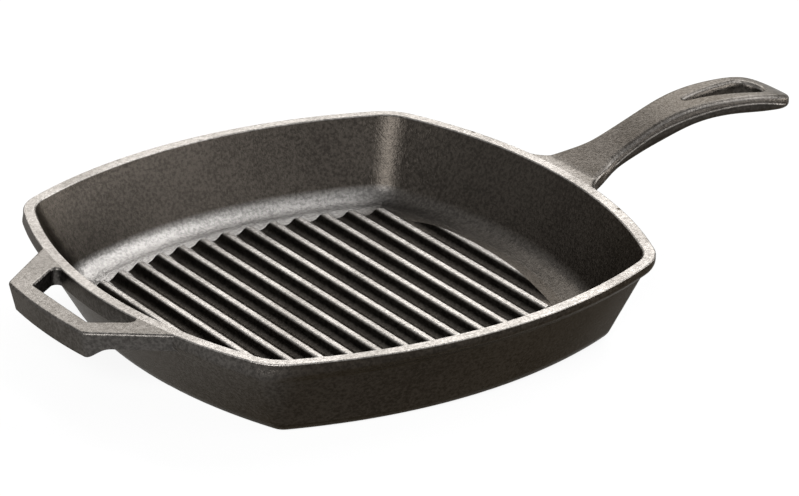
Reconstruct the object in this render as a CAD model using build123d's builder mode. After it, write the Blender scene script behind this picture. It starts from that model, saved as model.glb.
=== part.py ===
# Square ribbed grill pan, cast in one pour.
# Millimetres; Z is up and the flat underside of the base is at zero.
# The long handle points along +X and the helper handle along -X.
from build123d import *
from math import cos, pi, radians, sqrt, tan
import os

os.makedirs("parts", exist_ok=True)

# Overrun for every cut that runs through
cut_over = 6.0

# Outside of the pan
pan_height = 44.07
rim_half = 134.0
rim_bow = 25.3
rim_corner = 26.0
wall_lean = 23.0
base_bow = 18.7
base_corner = 9.0
base_edge_round = 7.5

# Pour lip: a band round the rim that overhangs the wall, most at the long handle
lip_band_height = 2.6
lip_cove_height = 7.7
lip_overhang = 8.0
lip_wall_bow = 21.4
lip_wall_corner = 12.0
lip_flush = 0.1
lip_cove_sections = 5
rim_edge_round = 0.8

# Inside of the pan
floor_thick = 6.8
rim_width = 6.2
mouth_bow = 23.6
mouth_corner = 21.0
inner_lean = 19.2
floor_bow = 18.5
floor_corner = 18.0
floor_round = 11.5
mouth_chamfer = 0.6
floor_seam_inset = 9.0

# Grill ribs
rib_count = 14
rib_side_margin = 21.7
rib_end_margin = 21.5
rib_height = 5.5
rib_top_width = 4.4
rib_draft = 0.5
rib_root_round = 2.4
rib_top_round = 1.6
rib_root_turn = 45.0
rib_field_radius = 200.0
rib_field_shift = 8.0
rib_field_spare = 1.1
rib_end_run = 4.6
rib_field_over = 2.0

# Helper handle, measured out from the side of the rim
helper_reach = 28.2
helper_bar_bow = 2.0
helper_bar_half = 33.5
helper_bar_width = 10.6
helper_arm_angle = 37.0
helper_hole_half = 24.3
helper_hole_angle = 33.7
helper_arm_depth = 8.6
helper_bar_depth = 13.8
helper_draft = 13.0
helper_step_out = 3.2
helper_step_run = 10.5
helper_seat = 22.0
helper_root_spare = 6.2
helper_corner_round = 6.5
helper_root_round = 5.0
helper_hole_round = 3.0
helper_top_round = 1.3

# Long handle, measured out from the side of the rim
handle_length = 136.6
handle_crease_out = 4.0
handle_rise = 21.4
handle_end_half = 16.0
handle_flare_half = 34.0
handle_flare_round = 18.0
handle_gusset_half = 20.0
handle_seat = 12.0
handle_edge_round = 2.3
handle_crease_round = 3.0
handle_gusset_run = 24.0
handle_flare_slope = 0.42
handle_tip_slope = 0.6
# Half widths along the handle: shares of its length and of its end's half width
handle_plan_shares = [
    (-0.065, 1.56),
    (0.115, 0.91),
    (0.173, 0.735),
    (0.240, 0.672),
    (0.345, 0.632),
    (0.518, 0.735),
    (0.748, 0.932),
]
# Top and underside seen from the side: shares of the length and of the rise
handle_top_shares = [
    (0.115, 0.165),
    (0.230, 0.417),
    (0.345, 0.688),
    (0.460, 0.899),
    (0.576, 0.992),
    (0.748, 0.955),
    (0.921, 0.744),
    (1.043, 0.30),
]
handle_under_shares = [
    (0.0, -0.372),
    (0.130, -0.209),
    (0.245, 0.025),
    (0.403, 0.300),
    (0.525, 0.511),
    (0.705, 0.557),
    (0.835, 0.464),
    (1.043, 0.10),
]
hang_end_inset = 15.2
hang_length = 48.0
hang_radius = 8.7
hang_tip_radius = 1.6
hang_edge_round = 1.8

# Worked out from the sizes above
base_half = rim_half - wall_lean
mouth_half = rim_half - rim_width
floor_half = mouth_half - inner_lean
band_z = pan_height - lip_band_height
mouth_z = pan_height - mouth_chamfer
cove_z = band_z - lip_cove_height
lip_wall_half = rim_half - lip_overhang / 2
lip_wall_shift = -lip_overhang / 2 - lip_flush
rib_pitch = 2 * (floor_half - rib_side_margin) / (rib_count - 1)


def bowed_square(half, bow, corner, shift=0.0):
    """A square with bowed sides and rounded corners, moved along X."""
    reach = half - bow
    with BuildSketch() as square:
        with BuildLine():
            for side in range(4):
                turn = 90 * side
                first = Vector(reach, -reach).rotate(Axis.Z, turn)
                middle = Vector(half, 0).rotate(Axis.Z, turn)
                last = Vector(reach, reach).rotate(Axis.Z, turn)
                ThreePointArc(first, middle, last)
        make_face()
        fillet(square.vertices(), corner)
    return square.sketch.moved(Location((shift, 0, 0)))


def along(share, base, length):
    """A place at a share of a length, counted from its base."""
    return base + share * length


def wall_at(height):
    """Sizes of the outer wall at a height, on its way from base to lip."""
    share = height / band_z
    half = along(share, base_half, lip_wall_half - base_half)
    bow = along(share, base_bow, lip_wall_bow - base_bow)
    corner = along(share, base_corner, lip_wall_corner - base_corner)
    return half, bow, corner, share * lip_wall_shift


def cove_at(height):
    """Sizes of the cove that carries the wall out to the pour lip."""
    share = (height - cove_z) / lip_cove_height
    swing = (1 - cos(pi * share)) / 2
    half, bow, corner, shift = wall_at(height)
    half = along(swing, half, rim_half - half)
    bow = along(swing, bow, rim_bow - bow)
    corner = along(swing, corner, rim_corner - corner)
    return half, bow, corner, shift * (1 - swing)


rim_outline = bowed_square(rim_half, rim_bow, rim_corner)

# Outer form without its cavity: the handles are cut against it
with BuildPart() as outer_form:
    for level in (0.0, cove_z):
        with BuildSketch(Plane.XY.offset(level)):
            add(bowed_square(*wall_at(level)))
    loft(ruled=True)
    base_rim = outer_form.edges().group_by(Axis.Z)[0]
    fillet(base_rim, base_edge_round)
    for section in range(lip_cove_sections):
        level = cove_z + lip_cove_height * section / (lip_cove_sections - 1)
        with BuildSketch(Plane.XY.offset(level)):
            add(bowed_square(*cove_at(level)))
    loft()
    with BuildSketch(Plane.XY.offset(band_z)):
        add(bowed_square(rim_half, rim_bow, rim_corner))
    extrude(amount=lip_band_height)
    fillet(outer_form.edges().group_by(Axis.Z)[-1], rim_edge_round)

# Cavity with its leaning walls, the round at their foot and the bevel at the mouth
with BuildPart() as cavity:
    with BuildSketch(Plane.XY.offset(floor_thick)):
        add(bowed_square(floor_half, floor_bow, floor_corner))
    with BuildSketch(Plane.XY.offset(mouth_z)):
        add(bowed_square(mouth_half, mouth_bow, mouth_corner))
    loft(ruled=True)
    fillet(cavity.edges().group_by(Axis.Z)[0], floor_round)
    for grow in (0, mouth_chamfer):
        with BuildSketch(Plane.XY.offset(mouth_z + grow)):
            add(bowed_square(mouth_half + grow, mouth_bow, mouth_corner + grow))
    loft(ruled=True)

# Pan floor: the flat plate inside the round at the foot of the wall
with BuildPart() as pan_floor:
    with BuildSketch():
        add(bowed_square(floor_half - floor_seam_inset, floor_bow, floor_corner / 2))
    extrude(amount=floor_thick)
pan_floor.part.label = "pan_floor"
export_step(pan_floor.part, "parts/pan_floor.step")

# Pan wall: the flared wall with its foot, its rim and its pour lip
with BuildPart() as pan_wall:
    add(outer_form.part)
    add(cavity.part, mode=Mode.SUBTRACT)
    add(pan_floor.part, mode=Mode.SUBTRACT)
pan_wall.part.label = "pan_wall"
export_step(pan_wall.part, "parts/pan_wall.step")

# Space that the ribs fill: three wide cones, so its bowed ends slope down to the floor
rib_field_low = rib_end_run * (rib_height + rib_field_over) / rib_height
rib_field_high = rib_end_run * rib_field_over / rib_height
end_y = floor_half - rib_end_margin
side_x = floor_half - rib_side_margin + rib_field_spare
with BuildPart() as rib_field:
    for place_x, place_y in (
        (-rib_field_shift, end_y - rib_field_radius),
        (-rib_field_shift, rib_field_radius - end_y),
        (side_x - rib_field_radius, 0),
    ):
        first = place_y < 0
        with Locations((place_x, place_y, floor_thick - rib_field_over)):
            Cone(
                rib_field_radius + rib_field_low,
                rib_field_radius - rib_field_high,
                rib_height + 2 * rib_field_over,
                align=(Align.CENTER, Align.CENTER, Align.MIN),
                mode=Mode.ADD if first else Mode.INTERSECT,
            )

# Grill ribs: one draughted bar each, standing on the floor with rounded roots
rib_half = rib_top_width / 2
rib_root_half = rib_half + rib_draft * (1 - rib_root_round / rib_height)
root_bulge = rib_root_round * (1 - cos(radians(rib_root_turn)))
for number in range(rib_count):
    place = (number - (rib_count - 1) / 2) * rib_pitch
    end_plane = Plane((place, floor_half, floor_thick), (1, 0, 0), (0, -1, 0))
    with BuildPart() as rib:
        with BuildSketch(end_plane) as rib_section:
            with BuildLine():
                foot = (rib_root_half + rib_root_round, 0)
                bulge = (rib_root_half + root_bulge, root_bulge)
                neck = (rib_root_half, rib_root_round)
                Line((0, 0), foot)
                ThreePointArc(foot, bulge, neck)
                Line(neck, (rib_half, rib_height))
                Line((rib_half, rib_height), (0, rib_height))
                mirror(about=Plane.YZ)
            make_face()
            tops = rib_section.vertices().group_by(Axis.Y)[-1]
            fillet(tops, rib_top_round)
        extrude(amount=2 * floor_half)
        add(rib_field.part, mode=Mode.INTERSECT)
        add(cavity.part, mode=Mode.INTERSECT)
    name = f"rib_{number + 1:02d}"
    rib.part.label = name
    export_step(rib.part, f"parts/{name}.step")

# Helper handle: plan of a loop with slanted arms, grown out of the rim
bar_x = -rim_half - helper_reach
bar_end_x = bar_x + helper_bar_bow
helper_seat_x = helper_seat - rim_half
arm_slope = tan(radians(helper_arm_angle))
helper_seat_half = helper_bar_half + (helper_seat_x - bar_end_x) * arm_slope
# Where the slanted arms meet the bowed side of the rim
rim_bend = arm_slope * rim_bow / (rim_half - rim_bow) ** 2
arm_start = helper_bar_half + arm_slope * (helper_reach - helper_bar_bow)
arm_root_y = (1 - sqrt(1 - 4 * rim_bend * arm_start)) / (2 * rim_bend)
helper_root_half = arm_root_y + helper_root_spare
hole_x = bar_x + helper_bar_width
hole_seat_half = helper_hole_half + (helper_seat_x - hole_x) * tan(radians(helper_hole_angle))
with BuildSketch() as helper_hole:
    with BuildLine():
        Polyline(
            (hole_x, -helper_hole_half),
            (hole_x, helper_hole_half),
            (helper_seat_x, hole_seat_half),
            (helper_seat_x, -hole_seat_half),
            close=True,
        )
    make_face()
    add(rim_outline, mode=Mode.SUBTRACT)
    fillet(helper_hole.vertices(), helper_hole_round)
with BuildSketch() as helper_plan:
    with BuildLine():
        ThreePointArc((bar_end_x, -helper_bar_half), (bar_x, 0), (bar_end_x, helper_bar_half))
        Polyline(
            (bar_end_x, helper_bar_half),
            (helper_seat_x, helper_seat_half),
            (helper_seat_x, -helper_seat_half),
            (bar_end_x, -helper_bar_half),
        )
    make_face()
    fillet(helper_plan.vertices().group_by(Axis.X)[0], helper_corner_round)
    add(rim_outline)
    roots = helper_plan.vertices().filter_by_position(
        Axis.Y, -helper_root_half, helper_root_half
    )
    roots = roots.filter_by_position(Axis.X, -rim_half, -mouth_half + helper_seat)
    fillet(roots, helper_root_round)
    with Locations((helper_seat_x, 0)):
        Rectangle(
            helper_seat + helper_reach,
            2 * helper_root_half,
            align=(Align.MAX, Align.CENTER),
            mode=Mode.INTERSECT,
        )

# Helper handle: the bar is deeper than the arms, with a soft step between them
bar_z = pan_height - helper_bar_depth
arm_z = pan_height - helper_arm_depth
step_start = (bar_x + helper_step_out, bar_z)
step_end = (bar_x + helper_step_out + helper_step_run, arm_z)
with BuildPart() as helper_handle:
    with BuildSketch(Plane.XY.offset(pan_height)):
        add(helper_plan.sketch)
    extrude(amount=-helper_bar_depth)
    sides = helper_handle.faces().filter_by(Axis.Z, reverse=True)
    draft(sides.sort_by(Axis.X)[:-1], Plane.XY.offset(pan_height), -helper_draft)
    with BuildSketch(Plane.XZ.offset(-rim_half)):
        with BuildLine():
            Polyline(
                (bar_x - cut_over, bar_z - cut_over),
                (step_start[0], bar_z - cut_over),
                step_start,
            )
            Spline(step_start, step_end, tangents=((1, 0), (1, 0)))
            Polyline(
                step_end,
                (helper_seat_x + cut_over, arm_z),
                (helper_seat_x + cut_over, pan_height),
                (bar_x - cut_over, pan_height),
                (bar_x - cut_over, bar_z - cut_over),
            )
        make_face()
    extrude(amount=2 * rim_half, mode=Mode.INTERSECT)
    with BuildSketch(Plane.XY.offset(pan_height)):
        add(helper_hole.sketch)
    extrude(amount=-helper_bar_depth - cut_over, mode=Mode.SUBTRACT)
    seat_face = helper_handle.faces().sort_by(Axis.X)[-1]
    top_face = helper_handle.faces().sort_by(Axis.Z)[-1]
    fillet(top_face.edges() - seat_face.edges(), helper_top_round)
    add(outer_form.part, mode=Mode.SUBTRACT)
helper_handle.part.label = "helper_handle"
export_step(helper_handle.part, "parts/helper_handle.step")

# Long handle: plan with its flare into the rim and its rounded end
handle_seat_x = rim_half - handle_seat
hang_end_x = rim_half + handle_length - hang_end_inset
hang_tip_x = hang_end_x - hang_length
with BuildSketch() as handle_plan:
    with BuildLine():
        side = [
            (rim_half + out * handle_length, share * handle_end_half)
            for out, share in handle_plan_shares
        ]
        end_x = rim_half + handle_length
        end_start = (end_x - handle_end_half, handle_end_half)
        end_stop = (end_x - handle_end_half, -handle_end_half)
        Spline(*side, end_start, tangents=((1, -handle_flare_slope), (1, 0)))
        ThreePointArc(end_start, (end_x, 0), end_stop)
        Spline(
            *[(x, -y) for x, y in side],
            end_stop,
            tangents=((1, handle_flare_slope), (1, 0)),
        )
        Line(side[0], (side[0][0], -side[0][1]))
    make_face()
    add(rim_outline)
    flares = handle_plan.vertices().filter_by_position(
        Axis.X, rim_half - handle_seat, rim_half + handle_crease_out
    )
    flares = flares.sort_by(lambda corner: abs(corner.Y))[:2]
    fillet(flares, handle_flare_round)
    with Locations((handle_seat_x, 0)):
        Rectangle(
            handle_seat + handle_length + cut_over,
            2 * handle_flare_half,
            align=(Align.MIN, Align.CENTER),
            mode=Mode.INTERSECT,
        )

# Long handle: side view with its crease, its arch and its drooping tip
crease = (rim_half + handle_crease_out, pan_height)
with BuildPart() as long_handle:
    with BuildSketch(Plane.XZ.offset(-rim_half)):
        with BuildLine():
            top = [
                (rim_half + out * handle_length, pan_height + rise * handle_rise)
                for out, rise in handle_top_shares
            ]
            under = [
                (rim_half + out * handle_length, pan_height + rise * handle_rise)
                for out, rise in handle_under_shares
            ]
            foot_z = under[0][1]
            Spline(crease, *top)
            Line(top[-1], under[-1])
            Spline(*under, tangents=((1, 0), (1, -handle_tip_slope)))
            Polyline(
                under[0],
                (handle_seat_x - cut_over, foot_z),
                (handle_seat_x - cut_over, pan_height),
                crease,
            )
        make_face()
    extrude(amount=2 * rim_half)
    with BuildSketch(Plane.XY):
        add(handle_plan.sketch)
    extrude(amount=2 * pan_height, mode=Mode.INTERSECT)
    bends = long_handle.edges().filter_by(Axis.Y)
    fillet(bends.sort_by_distance((crease[0], 0, crease[1]))[0], handle_crease_round)
    end_edges = long_handle.edges().sort_by(Axis.X)[-2:]
    fillet(end_edges.sort_by(Axis.Z), handle_edge_round)
    with BuildSketch(Plane.XY) as hang_hole:
        with Locations((hang_end_x - hang_radius, 0)):
            Circle(hang_radius)
        with Locations((hang_tip_x + hang_tip_radius, 0)):
            Circle(hang_tip_radius)
        make_hull(hang_hole.edges())
    extrude(amount=2 * pan_height, mode=Mode.SUBTRACT)
    hole_walls = long_handle.edges().filter_by_position(Axis.X, hang_tip_x, hang_end_x)
    hole_walls = hole_walls.filter_by(Axis.Z, reverse=True)
    hole_walls = hole_walls.filter_by_position(Axis.Y, -hang_radius, hang_radius)
    fillet(hole_walls, hang_edge_round)
    with BuildSketch(Plane.YZ.offset(handle_seat_x)):
        with BuildLine():
            Polyline(
                (handle_gusset_half, foot_z),
                (handle_flare_half, band_z),
                (handle_flare_half + cut_over, band_z),
                (handle_flare_half + cut_over, foot_z - cut_over),
                (handle_gusset_half, foot_z - cut_over),
                close=True,
            )
        make_face()
        mirror(about=Plane.YZ)
    extrude(amount=handle_gusset_run, mode=Mode.SUBTRACT)
    add(outer_form.part, mode=Mode.SUBTRACT)
long_handle.part.label = "long_handle"
export_step(long_handle.part, "parts/long_handle.step")
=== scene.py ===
from math import cos, pi, radians, sin

import bmesh
import bpy
from mathutils import Matrix, Vector
from mathutils.bvhtree import BVHTree


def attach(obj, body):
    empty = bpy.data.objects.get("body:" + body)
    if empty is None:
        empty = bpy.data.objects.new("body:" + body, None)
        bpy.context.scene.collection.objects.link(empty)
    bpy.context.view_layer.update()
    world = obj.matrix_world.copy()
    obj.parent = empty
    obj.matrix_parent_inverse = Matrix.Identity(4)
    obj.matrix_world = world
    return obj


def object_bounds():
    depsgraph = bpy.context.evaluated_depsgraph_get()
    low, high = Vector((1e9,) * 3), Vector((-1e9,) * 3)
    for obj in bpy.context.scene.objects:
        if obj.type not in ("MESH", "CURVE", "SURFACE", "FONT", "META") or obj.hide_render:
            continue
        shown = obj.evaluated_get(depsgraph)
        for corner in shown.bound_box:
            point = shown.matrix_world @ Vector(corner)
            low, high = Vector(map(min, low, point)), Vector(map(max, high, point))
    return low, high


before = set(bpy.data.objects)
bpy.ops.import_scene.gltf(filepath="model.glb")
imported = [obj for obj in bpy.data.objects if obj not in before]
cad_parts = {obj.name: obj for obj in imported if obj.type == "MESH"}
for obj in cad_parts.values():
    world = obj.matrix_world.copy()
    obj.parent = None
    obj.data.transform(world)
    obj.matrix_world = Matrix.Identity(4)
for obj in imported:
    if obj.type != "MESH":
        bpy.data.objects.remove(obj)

cad_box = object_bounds()
scene = bpy.context.scene
scene.view_settings.view_transform = "Standard"

# Lengths are in metres; the pan stands at z = 0 with its long handle along +X

# The pan's bowed square seen from above: how much its sides curve
side_bow = 2.3

# Middle of the wall's thickness: how far out it starts at z = 0, and how it leans out
wall_middle = 0.1082
wall_slope = 0.53

# Middle of the long handle's sides: its crest, its arch, its droop and the sides' bulge
crest_x = 0.2242
crest_z = 0.0607
arch_bend = 3.55
droop_x = 0.235
droop_bend = 1.65
side_bulge = 75.0

# Seasoned iron: display greys of its dull and satin skin and of its bare metal
dull_grey = 0.16
satin_grey = 0.44
bare_grey_low = 0.46
bare_grey_high = 0.55
dull_warmth = 0.1
satin_warmth = 0.02
bare_warmth = 0.03
warm_cast = (1.2, -0.6, -2.4)

# Seasoned iron: sizes and strengths of its grain
cloud_scale = 30.0
mottle_scale = 600.0
speckle_scale = 1400.0
pebble_scale = 1000.0
grain_dark = 0.7
grain_light = 1.3
middle_roughness = 0.36
roughness_spread = 0.3
worn_smoothing = 0.04
grit_depth = 0.0001
edge_tint = (0.5, 0.485, 0.465, 1.0)

# Two small nicks in the rim's worn top
nicks = ((0.125, 0.063, 0.044), (0.127, -0.054, 0.044))
nick_core = 0.0008
nick_edge = 0.0017


class Value:
    """A socket that takes part in sums, so shader maths reads as plain expressions."""

    def __init__(self, sheet, socket):
        self.sheet = sheet
        self.socket = socket

    def maths(self, operation, *others):
        inputs = dict(enumerate([self, *others]))
        return self.sheet.add("ShaderNodeMath", inputs, operation=operation).out("Value")

    def __add__(self, other):
        return self.maths("ADD", other)

    def __mul__(self, other):
        return self.maths("MULTIPLY", other)

    def __sub__(self, other):
        return self.maths("SUBTRACT", other)

    def __rsub__(self, other):
        return self.maths("MULTIPLY_ADD", -1.0, other)

    __radd__ = __add__
    __rmul__ = __mul__

    def ramp(self, low, high, start=0.0, end=1.0):
        """Runs smoothly from start to end as the value goes from low to high."""
        inputs = {0: self, 1: low, 2: high, 3: start, 4: end}
        ramp = self.sheet.add("ShaderNodeMapRange", inputs, interpolation_type="SMOOTHSTEP")
        return ramp.out("Result")


class Node:
    """A shader node whose outputs come as values."""

    def __init__(self, sheet, node):
        self.sheet = sheet
        self.node = node

    def out(self, name):
        return Value(self.sheet, self.node.outputs[name])


class Sheet:
    """A node tree that add() fills."""

    def __init__(self, tree):
        self.tree = tree
        tree.nodes.clear()

    def add(self, kind, inputs, **settings):
        node = self.tree.nodes.new(kind)
        for key, setting in settings.items():
            setattr(node, key, setting)
        for key, given in inputs.items():
            if isinstance(given, Value):
                self.tree.links.new(given.socket, node.inputs[key])
            else:
                node.inputs[key].default_value = given
        return Node(self, node)

    def seen(self):
        """One for a ray from the camera, from a reflection or through glass, else zero."""
        path = self.add("ShaderNodeLightPath", {})
        rays = path.out("Is Camera Ray") + path.out("Is Glossy Ray")
        return (rays + path.out("Is Transmission Ray")).maths("MINIMUM", 1.0)


class Surface(Sheet):
    """A material's sheet, with the places and directions that its masks use."""

    def __init__(self, name):
        self.material = bpy.data.materials.new(name)
        self.material.use_nodes = True
        super().__init__(self.material.node_tree)
        self.place = self.add("ShaderNodeTexCoord", {}).out("Object")
        axes = self.add("ShaderNodeSeparateXYZ", {0: self.place})
        self.x = axes.out("X")
        self.y = axes.out("Y")
        self.z = axes.out("Z")
        normal = self.add("ShaderNodeNewGeometry", {}).out("Normal")
        self.upward = self.add("ShaderNodeSeparateXYZ", {0: normal}).out("Z")
        # How far out a point is on the pan's bowed square
        x_span = self.y * self.y * side_bow + self.x.maths("ABSOLUTE")
        y_span = self.x * self.x * side_bow + self.y.maths("ABSOLUTE")
        self.span = x_span.maths("MAXIMUM", y_span)

    def noise(self, scale, detail, roughness):
        inputs = {
            "Vector": self.place,
            "Scale": scale,
            "Detail": detail,
            "Roughness": roughness,
        }
        return self.add("ShaderNodeTexNoise", inputs).out("Fac")

    def grains(self, scale):
        inputs = {"Vector": self.place, "Scale": scale}
        return self.add("ShaderNodeTexVoronoi", inputs).out("Distance")

    def distance(self, point):
        inputs = {0: self.place, 1: point}
        return self.add("ShaderNodeVectorMath", inputs, operation="DISTANCE").out("Value")

    def blend(self, share, first, second, way="MIX"):
        inputs = {0: share, 6: first, 7: second}
        return self.add("ShaderNodeMix", inputs, data_type="RGBA", blend_type=way).out(2)


def grey(level):
    return (level, level, level, 1.0)


def iron(level, warmth):
    """A linear colour from a display grey, with the brown cast of seasoned iron."""
    linear = ((level + 0.055) / 1.055) ** 2.4
    return (*[linear * (1 + cast * warmth) for cast in warm_cast], 1.0)


def helper_polish(sheet):
    return 0.3


def handle_polish(sheet):
    """The long handle's sides are smoother than its top."""
    return sheet.upward.ramp(low=0.5, high=0.9, start=0.09, end=0.06)


def rib_polish(sheet):
    return 0.1


def far_side_sheen(sheet):
    """Painted sheen: strongest on the far side, whose wall foot and floor edge face the light,
    and fading towards the near side.
    """
    return (sheet.y - sheet.x * 0.7).ramp(low=0.010, high=0.050, start=0.12)


def floor_sheen(sheet):
    """Painted sheen: the floor's edge, where it runs out from under the ribs, is made paler,
    most on the far side.
    """
    edge = sheet.span.ramp(low=0.082, high=0.094, start=0.08, end=0.95)
    return edge * far_side_sheen(sheet)


def wall_polish_and_sheen(sheet):
    """Dull outside, satin inside, with a painted highlight band along the foot of the inner
    wall, brightest on the far side, and a painted sheen on the outer wall towards the helper
    handle.
    """
    past_middle = sheet.span - sheet.z * wall_slope - wall_middle
    inside = past_middle.ramp(low=-0.0006, high=0.0006, start=1.0, end=0.0)
    # Painted highlight: the band of light along the inner wall's foot
    foot = sheet.z.ramp(low=0.0095, high=0.0140, start=0.93, end=0.0) * far_side_sheen(sheet)
    # Painted sheen: the outer wall is made paler towards the helper handle, where it catches
    # more light
    painted_side_sheen = sheet.x.ramp(low=-0.126, high=-0.090, start=0.26, end=0.0)
    return inside * (foot + 0.05) + (1 - inside) * painted_side_sheen


def no_relief(sheet):
    return 0.0


def floor_upturn(sheet):
    """Bump: the inside of the floor turns up a little before it meets the wall's foot."""
    rise = 0.0028
    return sheet.span.ramp(low=0.084, high=0.106) * sheet.z.ramp(low=0.003, high=0.005) * rise


def handle_sides(sheet):
    """Bump: the long handle's sides are a little fuller along their middle."""
    along = sheet.x - crest_x
    off = sheet.z + along * along * arch_bend - crest_z
    side = sheet.upward.ramp(low=0.5, high=0.8, start=1.0, end=0.0)
    return off * off * -side_bulge * side * sheet.x.ramp(low=0.142, high=0.155)


def unworn(sheet):
    return 0.0


def rim_wear(sheet):
    """The rim's top is worn all round, but for two small nicks."""
    worn = sheet.z.ramp(low=0.0434, high=0.0439, end=0.95)
    for nick in nicks:
        worn = worn * sheet.distance(nick).ramp(low=nick_core, high=nick_edge)
    return worn


def rib_wear(sheet):
    return sheet.z.ramp(low=0.0114, high=0.0123)


def helper_wear(sheet):
    """The helper handle's flat top is half worn, most at its outer end."""
    along_arm = sheet.x * 0.57 - sheet.y * 0.82
    share = along_arm.ramp(low=-0.118, high=-0.055, start=0.46, end=0.26)
    return sheet.upward.ramp(low=0.8, high=0.98) * share


def handle_wear_and_highlight(sheet):
    """The long handle is worn on top at its root and its tip, and has a painted highlight along
    its upper rounded edges.
    """
    root = sheet.x.ramp(low=0.134, high=0.142, start=0.55, end=0.14)
    tip = sheet.x.ramp(low=0.190, high=0.262, end=0.3)
    top = sheet.upward.ramp(low=0.7, high=0.95)
    # Painted highlight: a bright line along the rounded edges between the sides and the top
    edge_highlight_above_side = sheet.upward.ramp(low=0.10, high=0.40)
    edge_highlight_below_top = sheet.upward.ramp(low=0.6, high=0.85, start=0.36, end=0.0)
    return (root + tip) * top + edge_highlight_above_side * edge_highlight_below_top


def bead_highlight(sheet):
    """Painted highlight: the parting lines' upper flanks are made paler than the skin beside
    them.
    """
    return sheet.upward.ramp(low=-0.4, high=0.3, start=0.05, end=0.3)


def seasoned_iron(name, wear_and_highlight_where, polish_and_sheen_where, relief_where=no_relief):
    """A dark pebbled skin that turns satin where it is polished or a sheen is painted, and to
    paler bare metal where it is worn or a highlight is painted.
    """
    sheet = Surface(name)
    clouds = sheet.noise(cloud_scale, detail=3.0, roughness=0.55)
    mottle = sheet.noise(mottle_scale, detail=4.0, roughness=0.65)
    speckle = sheet.noise(speckle_scale, detail=2.0, roughness=0.6)
    pebbles = sheet.grains(pebble_scale)
    pits = (speckle * 0.6 + mottle * 0.4).ramp(low=0.38, high=0.56)
    patches = clouds.ramp(low=0.3, high=0.6, start=0.7)
    # Wear, and on some parts a painted highlight, turn the skin to bare metal
    worn = wear_and_highlight_where(sheet) * (pits * 0.35 + 0.65) * patches
    dull = iron(dull_grey, dull_warmth)
    satin = iron(satin_grey, satin_warmth)
    grain = (mottle * 0.8 + clouds * 0.2).ramp(low=0.38, high=0.62)
    grain_shade = sheet.blend(grain, grey(grain_dark), grey(grain_light))
    # Polish, and on some parts a painted sheen, turn the dull skin satin
    skin = sheet.blend(polish_and_sheen_where(sheet), dull, satin)
    skin = sheet.blend(1.0, skin, grain_shade, way="MULTIPLY")
    bare_low = iron(bare_grey_low, bare_warmth)
    bare_high = iron(bare_grey_high, bare_warmth)
    bare = sheet.blend(mottle.ramp(low=0.3, high=0.7), bare_low, bare_high)
    rough = (mottle - 0.5) * roughness_spread - worn * worn_smoothing + middle_roughness
    grit = pebbles * 0.7 + speckle * 0.9 + mottle * 1.6
    relief = grit * grit_depth + relief_where(sheet)
    bump = sheet.add("ShaderNodeBump", {"Strength": 1.0, "Distance": 1.0, "Height": relief})
    shader_inputs = {
        "Base Color": sheet.blend(worn, skin, bare),
        "Metallic": 1.0,
        "Roughness": rough,
        "Specular Tint": edge_tint,
        "Normal": bump.out("Normal"),
    }
    shader = sheet.add("ShaderNodeBsdfPrincipled", shader_inputs)
    sheet.add("ShaderNodeOutputMaterial", {"Surface": shader.out("BSDF")})
    return sheet.material


finishes = {
    "pan_wall": seasoned_iron("wall_iron", rim_wear, wall_polish_and_sheen, floor_upturn),
    "pan_floor": seasoned_iron("floor_iron", unworn, floor_sheen, floor_upturn),
    "rib": seasoned_iron("rib_iron", rib_wear, rib_polish),
    "helper_handle": seasoned_iron("helper_handle_iron", helper_wear, helper_polish),
    "long_handle": seasoned_iron("long_handle_iron", handle_wear_and_highlight, handle_polish, handle_sides),
    "parting_line": seasoned_iron("parting_line_iron", bead_highlight, handle_polish),
}


def dress(mesh, finish):
    """Gives a mesh its finish and smooth shading."""
    mesh.materials.clear()
    mesh.materials.append(finish)
    for polygon in mesh.polygons:
        polygon.use_smooth = True


for node_name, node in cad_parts.items():
    dress(node.data, finishes.get(node_name, finishes["rib"]))

# Parting lines: the bead that the mould's joint leaves along each side of the long handle
bead_radius = 0.0009
bead_depth = 0.0005
bead_fade = 0.010
bead_start_x = 0.150
bead_turn = 50
bead_steps = 48
bead_bevel_resolution = 3
probe_reach = 0.1
tip_radius = 0.016
tip_centre_x = cad_box[1][0] - tip_radius


def side_middle(x):
    """Height of the middle of the long handle's sides."""
    droop = max(0.0, x - droop_x)
    return crest_z - arch_bend * (x - crest_x) ** 2 - droop_bend * droop**2


def parting_line(name, side):
    """A bead that follows the handle's skin from its root to its tip."""
    skin = bmesh.new()
    skin.from_mesh(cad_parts["long_handle"].data)
    tree = BVHTree.FromBMesh(skin)
    skin.free()
    curve = bpy.data.curves.new(name, "CURVE")
    curve.dimensions = "3D"
    curve.bevel_depth = bead_radius
    curve.bevel_resolution = bead_bevel_resolution
    curve.use_fill_caps = True
    spline = curve.splines.new("POLY")
    straight = tip_centre_x - bead_start_x
    length = straight + tip_radius * radians(bead_turn)
    spline.points.add(bead_steps)
    for step, point in enumerate(spline.points):
        run = length * step / bead_steps
        turn = max(0.0, run - straight) / tip_radius
        centre = Vector((bead_start_x + min(run, straight), 0, 0))
        outward = Vector((sin(turn), side * cos(turn), 0))
        centre.z = side_middle(centre.x + tip_radius * sin(turn))
        place, normal, _, _ = tree.ray_cast(centre + outward * probe_reach, -outward)
        fade = min(1.0, run / bead_fade, (length - run) / bead_fade)
        sink = bead_depth + (1 - fade) * bead_radius
        point.co = (*(place - normal * sink), 1)
    draft = bpy.data.objects.new(name, curve)
    scene.collection.objects.link(draft)
    mesh = bpy.data.meshes.new_from_object(draft)
    bpy.data.objects.remove(draft)
    bead = bpy.data.objects.new(name, mesh)
    scene.collection.objects.link(bead)
    dress(mesh, finishes["parting_line"])
    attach(bead, "root")


parting_line("handle_parting_line_near", -1)
parting_line("handle_parting_line_far", 1)

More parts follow.
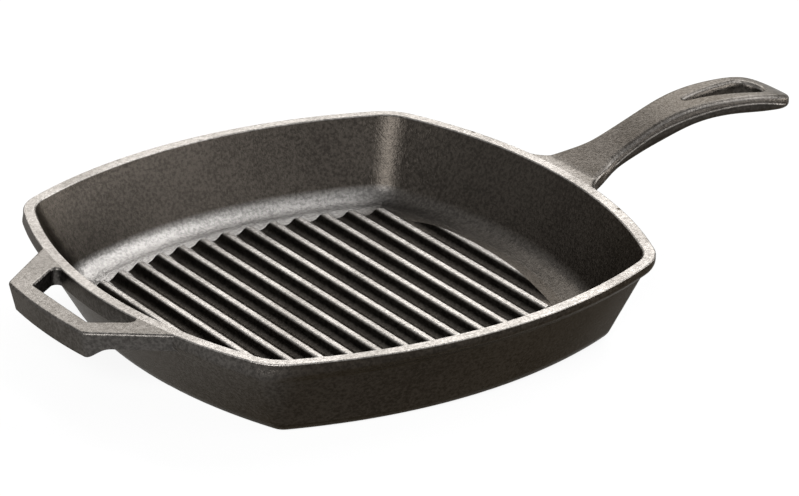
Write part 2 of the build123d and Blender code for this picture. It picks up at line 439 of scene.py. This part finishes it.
# Floor: near white where the camera or a reflection sees it, with the pan's faint shadow
floor_half = 4.0
floor_seen_grey = 0.9
floor_lit_grey = 0.17
floor_glow_share = 0.9
floor_mesh = bpy.data.meshes.new("floor")
builder = bmesh.new()
bmesh.ops.create_grid(builder, x_segments=1, y_segments=1, size=floor_half)
builder.to_mesh(floor_mesh)
builder.free()
floor = bpy.data.objects.new("floor", floor_mesh)
scene.collection.objects.link(floor)
floor_sheet = Surface("pale_floor")
floor_seen = floor_sheet.seen()
lit_colour = floor_sheet.blend(floor_seen, grey(floor_lit_grey), grey(floor_seen_grey))
lit = floor_sheet.add("ShaderNodeBsdfDiffuse", {"Color": lit_colour})
glow = floor_sheet.add("ShaderNodeEmission", {"Color": grey(1.0), "Strength": 1.0})
floor_inputs = {0: floor_seen * floor_glow_share, 1: lit.out("BSDF"), 2: glow.out("Emission")}
floor_mix = floor_sheet.add("ShaderNodeMixShader", floor_inputs)
floor_sheet.add("ShaderNodeOutputMaterial", {"Surface": floor_mix.out("Shader")})
floor_mesh.materials.append(floor_sheet.material)

# World: a dim even light, pure white where the camera or a reflection sees it
dim_strength = 0.1
white_strength = 1.0
world = bpy.data.worlds.new("studio")
scene.world = world
world.use_nodes = True
world_sheet = Sheet(world.node_tree)
dim = world_sheet.add("ShaderNodeBackground", {"Color": grey(1.0), "Strength": dim_strength})
white = world_sheet.add("ShaderNodeBackground", {"Color": grey(1.0), "Strength": white_strength})
world_inputs = {0: world_sheet.seen(), 1: dim.out("Background"), 2: white.out("Background")}
world_mix = world_sheet.add("ShaderNodeMixShader", world_inputs)
world_sheet.add("ShaderNodeOutputWorld", {"Surface": world_mix.out("Shader")})

# Camera: where the photograph was taken from
view_azimuth = 34.955
view_elevation = 23.903
view_roll = 0.665
view_distance = 2.187
focal_pixels = 4431.6
frame_width_pixels = 799
sensor_width_mm = 36.0
aim = Vector((0.069565, 0.047284, 0.0))
turn = radians(view_azimuth)
dip = radians(view_elevation)
roll = radians(view_roll)
forward = Vector((sin(turn) * cos(dip), cos(turn) * cos(dip), -sin(dip)))
level_right = Vector((cos(turn), -sin(turn), 0))
level_up = level_right.cross(forward)
right = level_right * cos(roll) + level_up * sin(roll)
up = level_up * cos(roll) - level_right * sin(roll)
camera_data = bpy.data.cameras.new("camera")
camera_data.sensor_width = sensor_width_mm
camera_data.lens = focal_pixels * sensor_width_mm / frame_width_pixels
camera = bpy.data.objects.new("camera", camera_data)
facing = Matrix((right, up, -forward)).transposed().to_4x4()
camera.matrix_world = Matrix.Translation(aim - forward * view_distance) @ facing
scene.collection.objects.link(camera)
scene.camera = camera


def softbox(name, azimuth, elevation, distance, size, brightness):
    """A soft panel that faces the pan; azimuth 0 is straight behind it from the camera."""
    turn = radians(azimuth + view_azimuth)
    rise = radians(elevation)
    away = Vector((sin(turn) * cos(rise), cos(turn) * cos(rise), sin(rise)))
    width, height = size
    lamp = bpy.data.lights.new(name, "AREA")
    lamp.shape = "RECTANGLE"
    lamp.size = width
    lamp.size_y = height
    lamp.energy = brightness * pi * width * height
    panel = bpy.data.objects.new(name, lamp)
    panel.location = aim + away * distance
    panel.rotation_mode = "QUATERNION"
    panel.rotation_quaternion = away.to_track_quat("Z", "Y")
    scene.collection.objects.link(panel)


# Softboxes: azimuth and elevation in degrees, distance, width and height, brightness
softbox("low_back_softbox", -5, 29, 2.5, (2.4, 1.1), 5.5)
softbox("high_right_softbox", 44, 51, 1.6, (1.9, 0.5), 8.5)
softbox("front_softbox", 199, 30, 2.4, (1.4, 0.8), 20.0)
softbox("low_right_softbox", 74, 5, 2.0, (1.6, 0.26), 26.0)
softbox("right_softbox", 112, 18, 2.0, (1.2, 0.8), 4.5)
